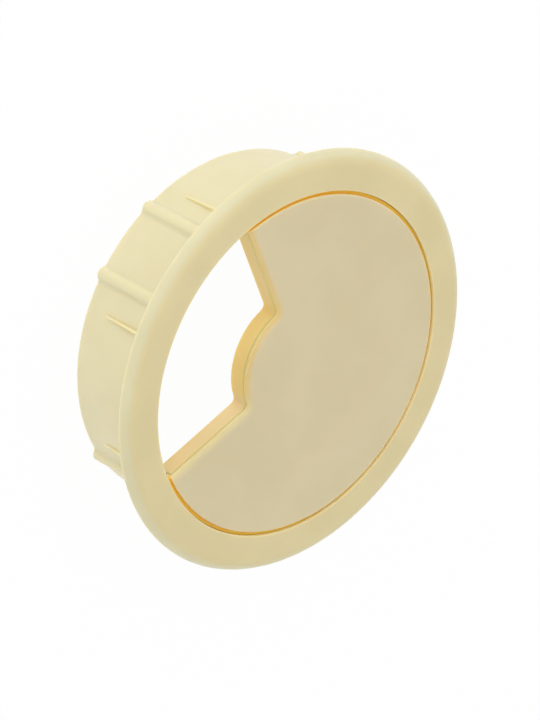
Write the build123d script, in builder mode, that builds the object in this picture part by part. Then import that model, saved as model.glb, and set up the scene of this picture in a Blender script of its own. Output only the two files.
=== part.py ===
"""Round cable grommet for a 60 mm hole in a desk top.

Three mouldings: a liner ring that lines the hole and covers its edge with a flange, a cover cap
that lies flush in the flange and has a quarter notch for the cables, and a rotary shutter that
hangs under the cap on its centre pivot and turns to close the notch.

Frame: the origin is the centre of the hole in the plane of the desk top, where the underside of
the flange seats. +Z leaves the desk through the face. The notch is centred on -Y, shutter open.
All sizes are in millimetres.
"""

import math
import os

from build123d import *

os.makedirs("parts", exist_ok=True)

# Liner ring: the flange and its rounded edge
hole_diameter = 60.0
flange_overhang = 5.35
flange_thickness = 2.0
flange_edge_reach = 2.4
flange_foot_radius = 0.2
flange_mouth_radius = 0.12
flange_root = 0.6

# Liner ring: the barrel, and the ledge that its wall leaves for the cap
barrel_clearance = 0.8
barrel_length = 17.4
barrel_wall = 1.3
barrel_end_radius = 0.4
ledge_width = 1.0
ledge_depth = 1.8

# Liner ring: crush beads, in pairs round the barrel
bead_pairs = 4
bead_pair_angle = 65.8
bead_spread = 12.35
bead_radius = 1.2
bead_crush = 0.15
bead_root_radius = 0.9

# Liner ring: tapered barbs, evenly spaced
barb_count = 8
barb_angle = 44.3
barb_thickness = 0.4
barb_draft = 12.0
barb_crest_radius = 0.15
barb_bite = 0.3
barb_end_height = 0.2
barb_length = 12.7
barb_root = 0.4

# Notch, shared by the cap and the shutter
notch_angle = 91.0
notch_direction = 270.0
hub_radius = 10.9
hub_corner_radius = 1.0

# Cover cap: a plate on a wider rim, which runs in the recess and stands on the ledge
cap_gap = 0.6
cap_gap_depth = 0.5
cap_clearance = 0.08
cap_plate = 0.8
cap_rim_radius = 0.2

# Cover cap: the slope that eases its edge along the notch, and the share of the plate that it takes
slope_reach = 1.0
slope_share = 0.6
slope_foot_radius = 0.3
slope_top_radius = 1.5

# Centre pivot of the cap, a split snap pin
pivot_radius = 3.0
pivot_clearance = 0.05
pivot_bore_radius = 1.7
pivot_slit = 1.0
pivot_root = 0.8
snap_overhang = 0.35
snap_height = 0.4
snap_taper = 1.0

# Rotary shutter and its stop
shutter_clearance = 0.1
shutter_play = 0.1
shutter_height = 2.9
shutter_plate = 1.2
shutter_rim = 1.3
shutter_edge_radius = 0.1
shutter_travel = 95.0
boss_wall = 2.4
rib_thickness = 1.2
lug_radius = 1.0
lug_track_radius = 18.0
lug_clearance = 0.15
lug_recess = 0.2

# Radii that follow from the hole and the walls
flange_radius = hole_diameter / 2 + flange_overhang
barrel_radius = hole_diameter / 2 - barrel_clearance
barrel_bore_radius = barrel_radius - barrel_wall
recess_radius = barrel_bore_radius + ledge_width
cap_radius = recess_radius - cap_gap
cap_rim_outer_radius = recess_radius - cap_clearance
shutter_radius = barrel_bore_radius - shutter_clearance
pivot_hole_radius = pivot_radius + pivot_clearance
boss_radius = pivot_hole_radius + boss_wall

# Heights that follow from the desk plane at zero
face_z = flange_thickness
barrel_end_z = -barrel_length
ledge_z = face_z - ledge_depth
plate_z = face_z - cap_plate
slope_z = face_z - slope_share * cap_plate
gap_z = face_z - cap_gap_depth
shutter_top_z = plate_z - shutter_play
shutter_end_z = shutter_top_z - shutter_height
shutter_plate_z = shutter_top_z - shutter_plate
snap_z = shutter_end_z - shutter_play
pivot_end_z = snap_z - snap_height - snap_taper

# Angles that follow from the notch
notch_start = notch_direction - notch_angle / 2
notch_end = notch_direction + notch_angle / 2
opposite_notch = notch_direction - 180.0
lug_angle = opposite_notch + shutter_travel / 4


def notched_disc(radius):
    """Draws a disc with the notch cut out and the round hub left standing in it."""
    with BuildSketch() as disc:
        with BuildLine():
            rim = CenterArc((0, 0), radius, notch_end, 360.0 - notch_angle)
            hub = CenterArc((0, 0), hub_radius, notch_start, notch_angle)
            Line(rim @ 1, hub @ 0)
            Line(hub @ 1, rim @ 0)
        make_face()
        inner_corners = disc.vertices().sort_by(SortBy.DISTANCE)[:2]
        fillet(inner_corners, hub_corner_radius)
    return disc.sketch


def round_corner(sketch, corner, radius):
    """Rounds the corner of the sketch that lies nearest to a point."""
    fillet(sketch.vertices().sort_by_distance(corner)[0], radius)


# Liner ring: a beaded barrel, a turned flange that overlaps its top, and barbs under the flange
bead_centre = hole_diameter / 2 + bead_crush - bead_radius
barb_crest = hole_diameter / 2 + barb_bite
barb_depth = barb_crest - barrel_radius + barb_root
barb_base = barb_thickness + 2 * barb_depth * math.tan(math.radians(barb_draft))
barb_fall = barb_crest - barrel_radius - barb_end_height
with BuildPart() as liner_ring:
    with BuildSketch(Plane.XY.offset(barrel_end_z)) as outline:
        Circle(barrel_radius)
        for side in (-bead_spread, bead_spread):
            with PolarLocations(bead_centre, bead_pairs, bead_pair_angle + side):
                Circle(bead_radius)
        fillet(outline.vertices(), bead_root_radius)
        Circle(barrel_bore_radius, mode=Mode.SUBTRACT)
    extrude(amount=ledge_z - barrel_end_z)
    fillet(liner_ring.edges().group_by(Axis.Z)[0], barrel_end_radius)
    with BuildSketch(Plane.XZ) as section:
        with BuildLine():
            edge_start = (flange_radius - flange_edge_reach, face_z)
            edge = TangentArc(edge_start, (flange_radius, 0), tangent=(1, 0))
            root_radius = barrel_radius + flange_root
            Polyline(
                edge @ 0,
                (recess_radius, face_z),
                (recess_radius, recess_radius - root_radius),
                (root_radius, 0),
                edge @ 1,
            )
        make_face()
        round_corner(section, (recess_radius, face_z), flange_mouth_radius)
        round_corner(section, (flange_radius, 0), flange_foot_radius)
    revolve(axis=Axis.Z)
    # Each barb leaves the flange proud of the hole and sinks towards the wall
    for i in range(barb_count):
        angle = barb_angle + 360.0 / barb_count * i
        with BuildSketch() as barb:
            with PolarLocations(barb_crest - barb_depth / 2, 1, angle):
                Trapezoid(barb_base, barb_depth, 90.0 - barb_draft, rotation=-90)
            fillet(barb.vertices().sort_by(SortBy.DISTANCE)[-2:], barb_crest_radius)
        run = Vector(-barb_fall, 0, -barb_length).rotate(Axis.Z, angle)
        extrude(amount=run.length, dir=run.normalized())
liner_ring.part.label = "liner_ring"
export_step(liner_ring.part, "parts/liner_ring.step")

# Cover cap: the notched plate, with its rim stepped out below the gap round the face
with BuildPart() as cover_cap:
    with BuildSketch(Plane.XY.offset(plate_z)):
        add(notched_disc(cap_radius))
    extrude(amount=cap_plate)
    # The rim is the longest edge of the face, and the others run along the notch
    face = cover_cap.faces().sort_by(Axis.Z)[-1]
    notch_edges = face.edges().sort_by(SortBy.LENGTH)[:-1]
    chamfer(notch_edges, slope_reach, face_z - slope_z, reference=face)
    foot_edges = cover_cap.edges().filter_by_position(Axis.Z, slope_z, slope_z)
    fillet(foot_edges, slope_foot_radius)
    face = cover_cap.faces().sort_by(Axis.Z)[-1]
    fillet(face.edges().sort_by(SortBy.LENGTH)[:-1], slope_top_radius)
    face = cover_cap.faces().sort_by(Axis.Z)[-1]
    fillet(face.edges().sort_by(SortBy.LENGTH)[-1], cap_rim_radius)
    with BuildSketch(Plane.XY.offset(ledge_z)):
        add(notched_disc(cap_rim_outer_radius))
        Circle(barrel_bore_radius, mode=Mode.SUBTRACT)
    extrude(amount=gap_z - ledge_z)
    # Split snap pin that carries the shutter
    with BuildSketch(Plane.XZ):
        with BuildLine():
            Polyline(
                (0, plate_z),
                (pivot_radius, plate_z),
                (pivot_radius, snap_z),
                (pivot_hole_radius + snap_overhang, snap_z),
                (pivot_hole_radius + snap_overhang, snap_z - snap_height),
                (pivot_radius - snap_overhang, pivot_end_z),
                (0, pivot_end_z),
                close=True,
            )
        make_face()
    revolve(axis=Axis.Z)
    with BuildSketch(Plane.XY.offset(pivot_end_z)):
        Circle(pivot_bore_radius)
        Rectangle(2 * boss_radius, pivot_slit)
        Rectangle(pivot_slit, 2 * boss_radius)
    extrude(amount=plate_z - pivot_root - pivot_end_z, mode=Mode.SUBTRACT)
    # Stop lug that runs in the shutter's slot
    with BuildSketch(Plane.XY.offset(shutter_plate_z + lug_recess)):
        with PolarLocations(lug_track_radius, 1, lug_angle):
            Circle(lug_radius)
    extrude(until=Until.NEXT)
cover_cap.part.label = "cover_cap"
export_step(cover_cap.part, "parts/cover_cap.step")

# Rotary shutter: a notched tray, open below, with a boss on the pivot and a slot for the stop lug
with BuildPart() as rotary_shutter:
    with BuildSketch(Plane.XY.offset(shutter_end_z)):
        add(notched_disc(shutter_radius))
    extrude(amount=shutter_height)
    outline_edges = rotary_shutter.faces().filter_by(Plane.XY).edges()
    fillet(outline_edges, shutter_edge_radius)
    with BuildSketch(Plane.XY.offset(shutter_end_z)):
        add(notched_disc(shutter_radius))
        offset(amount=-shutter_rim, mode=Mode.REPLACE)
        Circle(boss_radius, mode=Mode.SUBTRACT)
        Rectangle(2 * shutter_radius, rib_thickness, mode=Mode.SUBTRACT)
    extrude(amount=shutter_height - shutter_plate, mode=Mode.SUBTRACT)
    slot_start = lug_angle - shutter_travel
    with BuildSketch(Plane.XY.offset(shutter_end_z)):
        Circle(pivot_hole_radius)
        track = CenterArc((0, 0), lug_track_radius, slot_start, shutter_travel, mode=Mode.PRIVATE)
        SlotArc(track, 2 * (lug_radius + lug_clearance))
    extrude(amount=shutter_height, mode=Mode.SUBTRACT)
rotary_shutter.part.label = "rotary_shutter"
export_step(rotary_shutter.part, "parts/rotary_shutter.step")
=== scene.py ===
# %% [markdown]
# # A cable grommet in ivory plastic
#
# The real object is three mouldings that snap together: a flanged liner for a hole in a desk top,
# a round cap with a quarter notch for the cables, and a shutter that turns under the cap. Their
# shapes are exact CAD solids, so this lesson adds what CAD leaves out: the finish of the plastic,
# the light and the camera.

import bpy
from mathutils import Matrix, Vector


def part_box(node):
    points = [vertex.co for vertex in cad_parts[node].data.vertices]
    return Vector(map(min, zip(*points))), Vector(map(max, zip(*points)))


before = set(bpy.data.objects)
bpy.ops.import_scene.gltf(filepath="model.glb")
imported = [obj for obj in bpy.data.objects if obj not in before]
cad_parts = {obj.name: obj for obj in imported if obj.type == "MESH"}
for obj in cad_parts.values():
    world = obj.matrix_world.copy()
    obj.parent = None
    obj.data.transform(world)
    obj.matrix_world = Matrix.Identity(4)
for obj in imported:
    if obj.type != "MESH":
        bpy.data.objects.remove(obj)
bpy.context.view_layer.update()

# %% [markdown]
# The sizes that the finish and the light need are measured on the loaded solids. If the part is
# made larger or smaller, everything below follows it.

# %% Measure the grommet
import math

import bmesh
import bpy
from mathutils import Quaternion, Vector

liner_low, liner_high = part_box("liner_ring")
cap_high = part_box("cover_cap")[1]
flange_radius = liner_high.x
face_height = liner_high.z
barrel_end_height = liner_low.z
cap_rim_radius = cap_high.x
print(f"flange {flange_radius:.4f} m, face at {face_height:.4f} m, cap rim {cap_rim_radius:.4f} m")

# %% [markdown]
# A product picture like this one is taken from far away with a long lens, so the far side of the
# flange looks nearly as large as the near side. The camera stands a long way off on the notch's
# side, and it is rolled, because the grommet was laid on its side for the picture. A camera looks
# along its own -Z with +Y up, so `to_track_quat` aims it and a turn about its own Z adds the roll.

# %% Place the camera
LENS_MM = 250.0
SENSOR_MM = 36.0
CAMERA_AZIMUTH = math.radians(254.63)
CAMERA_ELEVATION = math.radians(41.30)
CAMERA_ROLL = math.radians(118.12)
CAMERA_DISTANCE = 0.777
CAMERA_AIM = Vector((-0.00037, -0.00681, face_height))


def direction(azimuth, elevation):
    """A unit vector at an angle round Z from +X and an angle above the floor."""
    level = math.cos(elevation)
    return Vector((level * math.cos(azimuth), level * math.sin(azimuth), math.sin(elevation)))


towards_camera = direction(CAMERA_AZIMUTH, CAMERA_ELEVATION)
camera = bpy.data.objects.new("camera", bpy.data.cameras.new("camera"))
camera.data.lens = LENS_MM
camera.data.sensor_fit = "VERTICAL"
camera.data.sensor_height = SENSOR_MM
camera.location = CAMERA_AIM + CAMERA_DISTANCE * towards_camera
roll = Quaternion((0, 0, 1), CAMERA_ROLL)
camera.rotation_mode = "QUATERNION"
camera.rotation_quaternion = (-towards_camera).to_track_quat("-Z", "Y") @ roll
bpy.context.scene.collection.objects.link(camera)
bpy.context.scene.camera = camera
print("camera at", tuple(round(x, 4) for x in camera.location))

# %% [markdown]
# The picture has a pure white background. Brighter lamps would bleach the plastic, so the white
# comes from the Light Path node instead: rays that come straight from the camera, or from a
# reflection, see white, and rays that light the object see the plain studio level.

# %% White surroundings, plain light
SKY_SHARE = 0.84
bpy.context.scene.view_settings.view_transform = "Standard"


def seen_directly(tree):
    """A socket that is 1 for rays from the camera, a reflection or clear plastic, else 0."""
    path = tree.nodes.new("ShaderNodeLightPath")
    either = tree.nodes.new("ShaderNodeMath")
    either.operation = "MAXIMUM"
    tree.links.new(path.outputs["Is Camera Ray"], either.inputs[0])
    tree.links.new(path.outputs["Is Glossy Ray"], either.inputs[1])
    any_of_three = tree.nodes.new("ShaderNodeMath")
    any_of_three.operation = "MAXIMUM"
    tree.links.new(either.outputs[0], any_of_three.inputs[0])
    tree.links.new(path.outputs["Is Transmission Ray"], any_of_three.inputs[1])
    return any_of_three.outputs[0]


studio = bpy.data.worlds.new("white_studio")
bpy.context.scene.world = studio
studio.use_nodes = True
sky_tree = studio.node_tree
sky_light = sky_tree.nodes["Background"]
sky_light.inputs["Color"].default_value = (1, 1, 1, 1)
sky_light.inputs["Strength"].default_value = SKY_SHARE
sky_white = sky_tree.nodes.new("ShaderNodeBackground")
sky_white.inputs["Color"].default_value = (1, 1, 1, 1)
sky_choice = sky_tree.nodes.new("ShaderNodeMixShader")
sky_tree.links.new(seen_directly(sky_tree), sky_choice.inputs["Fac"])
sky_tree.links.new(sky_light.outputs[0], sky_choice.inputs[1])
sky_tree.links.new(sky_white.outputs[0], sky_choice.inputs[2])
sky_tree.links.new(sky_choice.outputs[0], sky_tree.nodes["World Output"].inputs["Surface"])
print("sky gives", SKY_SHARE, "of the light")

# %% [markdown]
# The grommet stands on the end of its barrel, so the floor is a plain sheet at that height. Most of
# what the camera sees of it is plain white, and the rest is a matt surface, which keeps a soft
# shadow under the object. It is a light table, as product photographers use: it also glows a
# little itself, so light comes up through the open barrel and warms the walls of the notch.

# %% Lay the floor
FLOOR_HALF_WIDTH = 1.5
FLOOR_WHITE_SHARE = 0.97
FLOOR_GLOW_SHARE = 1.0
floor_mesh = bpy.data.meshes.new("floor")
floor_sheet = bmesh.new()
bmesh.ops.create_grid(floor_sheet, x_segments=1, y_segments=1, size=FLOOR_HALF_WIDTH)
bmesh.ops.translate(floor_sheet, verts=floor_sheet.verts, vec=(0, 0, barrel_end_height))
floor_sheet.to_mesh(floor_mesh)
floor_sheet.free()
floor = bpy.data.objects.new("floor", floor_mesh)
bpy.context.scene.collection.objects.link(floor)

floor_paper = bpy.data.materials.new("floor_paper")
floor_paper.use_nodes = True
paper_tree = floor_paper.node_tree
paper = paper_tree.nodes["Principled BSDF"]
paper.inputs["Base Color"].default_value = (0.85, 0.85, 0.85, 1)
paper.inputs["Roughness"].default_value = 0.9
paper_white = paper_tree.nodes.new("ShaderNodeEmission")
paper_share = paper_tree.nodes.new("ShaderNodeMapRange")
paper_share.inputs["To Min"].default_value = FLOOR_GLOW_SHARE
paper_share.inputs["To Max"].default_value = FLOOR_WHITE_SHARE
paper_mix = paper_tree.nodes.new("ShaderNodeMixShader")
paper_tree.links.new(seen_directly(paper_tree), paper_share.inputs["Value"])
paper_tree.links.new(paper_share.outputs[0], paper_mix.inputs["Fac"])
paper_tree.links.new(paper.outputs[0], paper_mix.inputs[1])
paper_tree.links.new(paper_white.outputs[0], paper_mix.inputs[2])
paper_tree.links.new(paper_mix.outputs[0], paper_tree.nodes["Material Output"].inputs["Surface"])
floor_mesh.materials.append(floor_paper)
print("floor at", round(barrel_end_height, 4), "m")

# %% [markdown]
# Two soft panels do the rest. The large one stands low beside the barrel, towards the top of the
# picture, so the barrel is brighter than the face and its beads show a light and a dark side. The
# small one hangs over the face. A panel that should add a given share of the light at a distance d
# needs a power of share * pi^2 * d^2 watts.

# %% Hang the soft panels


def soft_panel(name, azimuth, elevation, distance, width, share):
    """A square area lamp that points at the grommet and adds a share of the plain light level."""
    lamp = bpy.data.lights.new(name, "AREA")
    lamp.size = width
    lamp.energy = share * math.pi**2 * distance**2
    panel = bpy.data.objects.new(name, lamp)
    towards_panel = direction(math.radians(azimuth), math.radians(elevation))
    panel.location = distance * towards_panel
    panel.rotation_mode = "QUATERNION"
    panel.rotation_quaternion = (-towards_panel).to_track_quat("-Z", "Y")
    bpy.context.scene.collection.objects.link(panel)
    print(f"{name}: {lamp.energy:.2f} W")


soft_panel("side_panel", azimuth=225.0, elevation=12.0, distance=0.6, width=0.6, share=0.42)
soft_panel("top_panel", azimuth=200.0, elevation=70.0, distance=0.6, width=0.4, share=0.1)

# %% [markdown]
# Everything on a grommet is round about one axis, so most changes of colour follow the distance
# from that axis, the angle round it, the height, or whether a surface looks up or sideways. This
# group reads all four from Object coordinates, in millimetres and degrees. The solids sit at the
# origin, so the pattern turns with a piece when its joint turns.

# %% Group: where a point lies on the turned shape
MM = 1000.0


def new_group(name, inputs, outputs):
    """An empty shader node group with number inputs and their usual values, and number outputs."""
    group = bpy.data.node_groups.new(name, "ShaderNodeTree")
    new_socket = group.interface.new_socket
    for socket_name, usual in inputs.items():
        socket = new_socket(socket_name, in_out="INPUT", socket_type="NodeSocketFloat")
        socket.default_value = usual
    for socket_name in outputs:
        new_socket(socket_name, in_out="OUTPUT", socket_type="NodeSocketFloat")
    return group, group.nodes.new("NodeGroupInput"), group.nodes.new("NodeGroupOutput")


def sum_up(tree, operation, first, second):
    """A Math node between two sockets or numbers, and its result."""
    node = tree.nodes.new("ShaderNodeMath")
    node.operation = operation
    for socket, value in zip(node.inputs, (first, second)):
        if isinstance(value, bpy.types.NodeSocket):
            tree.links.new(value, socket)
        else:
            socket.default_value = value
    return node.outputs[0]


lathe_place, _, lathe_out = new_group("lathe_place", {}, ("Radius", "Angle", "Height", "Upright"))
place = lathe_place.nodes.new("ShaderNodeTexCoord")
place_parts = lathe_place.nodes.new("ShaderNodeSeparateXYZ")
lathe_place.links.new(place.outputs["Object"], place_parts.inputs[0])
facing_parts = lathe_place.nodes.new("ShaderNodeSeparateXYZ")
lathe_place.links.new(place.outputs["Normal"], facing_parts.inputs[0])
squares = [sum_up(lathe_place, "POWER", place_parts.outputs[axis], 2.0) for axis in ("X", "Y")]
reach = sum_up(lathe_place, "SQRT", sum_up(lathe_place, "ADD", *squares), 0.0)
turn = sum_up(lathe_place, "ARCTAN2", place_parts.outputs["Y"], place_parts.outputs["X"])
level = sum_up(lathe_place, "ABSOLUTE", facing_parts.outputs["Z"], 0.0)
measures = {
    "Radius": sum_up(lathe_place, "MULTIPLY", reach, MM),
    "Angle": sum_up(lathe_place, "MULTIPLY", turn, math.degrees(1)),
    "Height": sum_up(lathe_place, "MULTIPLY", place_parts.outputs["Z"], MM),
    "Upright": sum_up(lathe_place, "SUBTRACT", 1.0, level),
}
for measure_name, measure in measures.items():
    lathe_place.links.new(measure, lathe_out.inputs[measure_name])
print("group", lathe_place.name, "has", len(lathe_place.nodes), "nodes")

# %% [markdown]
# A mould for such a part is spark-eroded, which leaves a fine, even grain on the plastic and a
# satin gloss. The melt also cools unevenly, so the tone drifts a little over a few millimetres. One
# group makes both from noise: the grain for the bump and the gloss, and the drift for the colour.

# %% Group: moulded grain
moulded_grain, grain_in, grain_out = new_group(
    "moulded_grain", {"Grain Scale": 2600.0, "Drift Scale": 90.0}, ("Grain", "Drift")
)
grain_place = moulded_grain.nodes.new("ShaderNodeTexCoord")
for output_name, detail in (("Grain", 3.0), ("Drift", 2.0)):
    noise = moulded_grain.nodes.new("ShaderNodeTexNoise")
    noise.inputs["Detail"].default_value = detail
    moulded_grain.links.new(grain_place.outputs["Object"], noise.inputs["Vector"])
    moulded_grain.links.new(grain_in.outputs[output_name + " Scale"], noise.inputs["Scale"])
    moulded_grain.links.new(noise.outputs[0], grain_out.inputs[output_name])
print("group", moulded_grain.name, "has", len(moulded_grain.nodes), "nodes")

# %% [markdown]
# The three mouldings are the same ivory plastic, so one function starts each material: a satin
# Principled BSDF with a little light scattered under its surface, the grain as bump and gloss, and
# the drift as a slight change of tone. Each piece then gets its own tints below.

# %% Start an ivory plastic
DRIFT_TONE = (0.96, 0.955, 0.93, 1)


def screen_colour(red, green, blue):
    """A colour as it looks on screen, from 0 to 255, as the linear colour that shaders use."""
    levels = [value / 255 for value in (red, green, blue)]
    return *(v / 12.92 if v <= 0.04045 else ((v + 0.055) / 1.055) ** 2.4 for v in levels), 1.0


def use_group(tree, group):
    """Places a group in a material."""
    node = tree.nodes.new("ShaderNodeGroup")
    node.node_tree = group
    return node


def fade(tree, value, start, end, low=0.0, high=1.0):
    """A smooth change from low to high while a value goes from start to end."""
    node = tree.nodes.new("ShaderNodeMapRange")
    node.interpolation_type = "SMOOTHSTEP"
    tree.links.new(value, node.inputs["Value"])
    limits = {"From Min": start, "From Max": end, "To Min": low, "To Max": high}
    for socket_name, number in limits.items():
        node.inputs[socket_name].default_value = number
    return node.outputs["Result"]


def tint(tree, mask, under, over, blend="MIX"):
    """Lays one colour over another where a mask is 1."""
    node = tree.nodes.new("ShaderNodeMix")
    node.data_type = "RGBA"
    node.blend_type = blend
    tree.links.new(mask, node.inputs["Factor"])
    colour_inputs = [s for s in node.inputs if s.type == "RGBA"]
    for socket, colour in zip(colour_inputs, (under, over)):
        if isinstance(colour, bpy.types.NodeSocket):
            tree.links.new(colour, socket)
        else:
            socket.default_value = colour
    return next(s for s in node.outputs if s.type == "RGBA")


def all_of(tree, first, *others):
    """A mask that is 1 only where all the given masks are 1."""
    for mask in others:
        first = sum_up(tree, "MULTIPLY", first, mask)
    return first


def start_ivory(name):
    """A new ivory plastic: its node tree, its shader, and the places and grain to tint it by."""
    material = bpy.data.materials.new(name)
    material.use_nodes = True
    tree = material.node_tree
    plastic = tree.nodes["Principled BSDF"]
    plastic.inputs["IOR"].default_value = 1.49
    plastic.inputs["Subsurface Weight"].default_value = 1.0
    plastic.inputs["Subsurface Radius"].default_value = (1.0, 0.85, 0.6)
    plastic.inputs["Subsurface Scale"].default_value = 0.001
    grain = use_group(tree, moulded_grain)
    relief = tree.nodes.new("ShaderNodeBump")
    relief.inputs["Strength"].default_value = 0.25
    relief.inputs["Distance"].default_value = 0.00003
    tree.links.new(grain.outputs["Grain"], relief.inputs["Height"])
    tree.links.new(relief.outputs["Normal"], plastic.inputs["Normal"])
    satin = fade(tree, grain.outputs["Grain"], start=0.3, end=0.7, low=0.4, high=0.52)
    tree.links.new(satin, plastic.inputs["Roughness"])
    return material, tree, plastic, use_group(tree, lathe_place), grain


def finish_ivory(node_name, material, tree, plastic, grain, colour):
    """Adds the drift of tone, sets the colour and gives the material to a solid."""
    drift = fade(tree, grain.outputs["Drift"], start=0.3, end=0.7)
    toned = tint(tree, drift, colour, DRIFT_TONE, "MULTIPLY")
    tree.links.new(toned, plastic.inputs["Base Color"])
    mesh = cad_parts[node_name].data
    mesh.materials.clear()
    mesh.materials.append(material)
    print(material.name, "on", node_name, "with", len(tree.nodes), "nodes")


# %% [markdown]
# The liner is the piece that is seen most. Its rounded edge and its barrel are painted paler than
# the flange's face, a painted sheen for the stronger light that falls on them, so the colour fades
# from the flange's face over its rounded edge and on to the barrel. The wall of the mouth, in the
# gap round the cap, is painted brighter and slightly warmer: painted light that cancels the shade
# of the narrow gap. The thin barbs on the barrel get a slightly warmer tone, painted shade for the
# golden shadow along the thin fins. The barbs stand at equal angles: a ping-pong of the angle
# folds them all onto one, so a single distance finds every barb.

# %% Liner ring
FLANGE_IVORY = screen_colour(218, 205, 159)
EDGE_PAINTED_SHEEN_IVORY = screen_colour(217, 211, 176)
BARREL_PAINTED_SHEEN_IVORY = screen_colour(225, 217, 179)
MOUTH_PAINTED_LIGHT_IVORY = screen_colour(253, 238, 195)
BARB_PAINTED_SHADE_IVORY = screen_colour(226, 215, 170)
BARB_ANGLE = 44.3
BARB_PITCH = 45.0
BARB_LENGTH_MM = 12.7
BARB_TIP_MM = 0.8
LEDGE_DEPTH_MM = 1.8
MOUTH_CLEAR_MM = 0.1
face_mm = face_height * MM
ledge_mm = face_mm - LEDGE_DEPTH_MM
rim_mm = cap_rim_radius * MM
mouth_mm = rim_mm + MOUTH_CLEAR_MM


def under_face(tree, place_of, start, full):
    """A mask that starts at one depth under the face and is full at another, in millimetres."""
    return fade(tree, place_of.outputs["Height"], face_mm - start, face_mm - full)


liner_ivory, tree, plastic, place_of, grain = start_ivory("liner_ivory")
radius, angle, height = [place_of.outputs[name] for name in ("Radius", "Angle", "Height")]
outside = fade(tree, radius, mouth_mm, mouth_mm + 0.2)
# Painted sheen: the rounded edge and the barrel are painted paler for the stronger light on them.
on_painted_sheen_edge = all_of(tree, under_face(tree, place_of, start=0.05, full=0.8), outside)
colour = tint(tree, on_painted_sheen_edge, FLANGE_IVORY, EDGE_PAINTED_SHEEN_IVORY)
on_painted_sheen_barrel = fade(tree, height, start=0.0, end=-0.3)
colour = tint(tree, on_painted_sheen_barrel, colour, BARREL_PAINTED_SHEEN_IVORY)

# Painted shade: a warmer tone along the thin barbs for their golden shadow.
from_first = sum_up(tree, "SUBTRACT", angle, BARB_ANGLE)
from_barb = sum_up(tree, "PINGPONG", from_first, BARB_PITCH / 2)
near_barb = fade(tree, from_barb, start=1.8, end=0.6)
past_tip = fade(tree, height, -BARB_LENGTH_MM - BARB_TIP_MM, -BARB_LENGTH_MM + BARB_TIP_MM)
under_flange = fade(tree, height, start=0.0, end=-0.5)
on_barb_painted_shade = all_of(tree, near_barb, past_tip, under_flange, outside)
colour = tint(tree, on_barb_painted_shade, colour, BARB_PAINTED_SHADE_IVORY)

# Painted light: the wall of the mouth is painted brighter to cancel the shade of the narrow gap.
inside = fade(tree, radius, mouth_mm + 0.15, mouth_mm)
below_face = under_face(tree, place_of, start=0.1, full=0.3)
above_ledge = fade(tree, height, ledge_mm - 0.1, ledge_mm + 0.1)
colour = tint(tree, all_of(tree, inside, below_face, above_ledge), colour, MOUTH_PAINTED_LIGHT_IVORY)
finish_ivory("liner_ring", liner_ivory, tree, plastic, grain, colour)

# %% [markdown]
# The gap round the cap and the walls of the notch look much warmer than the face: light that
# reaches them has already been through the plastic or bounced off it several times. The floor of
# the gap, which is the stepped rim of the cap, is tinted golden. Along the notch the cap's edge is
# a shallow slope over a low wall. Both take a warm ivory, which is paler on the side of the notch
# that faces the lamp, and the wall turns golden at the seam between cap and shutter.

# %% Cover cap
CAP_IVORY = screen_colour(213, 200, 163)
LIT_WALL_IVORY = screen_colour(238, 216, 166)
SHADED_WALL_IVORY = screen_colour(240, 215, 144)
LIT_SLOPE_IVORY = screen_colour(224, 208, 159)
SHADED_SLOPE_IVORY = screen_colour(224, 196, 135)
SEAM_GOLD = screen_colour(255, 210, 122)
GAP_GOLD = screen_colour(248, 184, 0)
LIT_WALL_ANGLE = -44.5
GAP_WIDTH_MM = 0.52
GAP_DEPTH_MM = 0.5
PLATE_MM = 0.8
CAP_SEAM_MM = 0.3
gap_start_mm = rim_mm - GAP_WIDTH_MM


def off_lit_wall(tree, place_of):
    """A mask that is 0 on the wall of the notch that faces the lamp and 1 on its other walls."""
    return fade(tree, place_of.outputs["Angle"], LIT_WALL_ANGLE - 2.0, LIT_WALL_ANGLE - 14.0)


def on_upright(tree, place_of):
    """A mask that is 1 on walls and 0 on flat faces."""
    return fade(tree, place_of.outputs["Upright"], start=0.25, end=0.9)


cap_ivory, tree, plastic, place_of, grain = start_ivory("cap_ivory")
shaded = off_lit_wall(tree, place_of)
slope = tint(tree, shaded, LIT_SLOPE_IVORY, SHADED_SLOPE_IVORY)
colour = tint(tree, under_face(tree, place_of, start=0.0, full=0.32), CAP_IVORY, slope)
on_wall = on_upright(tree, place_of)
wall = tint(tree, shaded, LIT_WALL_IVORY, SHADED_WALL_IVORY)
colour = tint(tree, on_wall, colour, wall)

# Painted light: the wall turns golden at the seam, where light between cap and shutter is trapped.
from_seam = sum_up(tree, "SUBTRACT", place_of.outputs["Height"], face_mm - PLATE_MM)
at_seam = fade(tree, sum_up(tree, "ABSOLUTE", from_seam, 0.0), CAP_SEAM_MM, 0.0)
colour = tint(tree, all_of(tree, at_seam, on_wall), colour, SEAM_GOLD)

at_rim = fade(tree, place_of.outputs["Radius"], gap_start_mm - 0.05, gap_start_mm)
in_gap = all_of(tree, at_rim, under_face(tree, place_of, start=0.3, full=GAP_DEPTH_MM))
colour = tint(tree, in_gap, colour, GAP_GOLD)
finish_ivory("cover_cap", cap_ivory, tree, plastic, grain, colour)

# %% [markdown]
# Of the shutter only the wall under the notch shows while it is open. It goes on from the cap's
# wall in the same warm ivory, and its upper edge turns golden, where the light between the two
# pieces is trapped. Its flat sides stay in the cap's ivory.

# %% Rotary shutter
SHUTTER_SEAM_MM = 0.4
shutter_top_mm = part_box("rotary_shutter")[1].z * MM

shutter_ivory, tree, plastic, place_of, grain = start_ivory("shutter_ivory")
wall = tint(tree, off_lit_wall(tree, place_of), LIT_WALL_IVORY, SHADED_WALL_IVORY)
on_wall = on_upright(tree, place_of)
colour = tint(tree, on_wall, CAP_IVORY, wall)
at_seam = fade(tree, place_of.outputs["Height"], shutter_top_mm - SHUTTER_SEAM_MM, shutter_top_mm)
colour = tint(tree, all_of(tree, at_seam, on_wall), colour, SEAM_GOLD)
finish_ivory("rotary_shutter", shutter_ivory, tree, plastic, grain, colour)
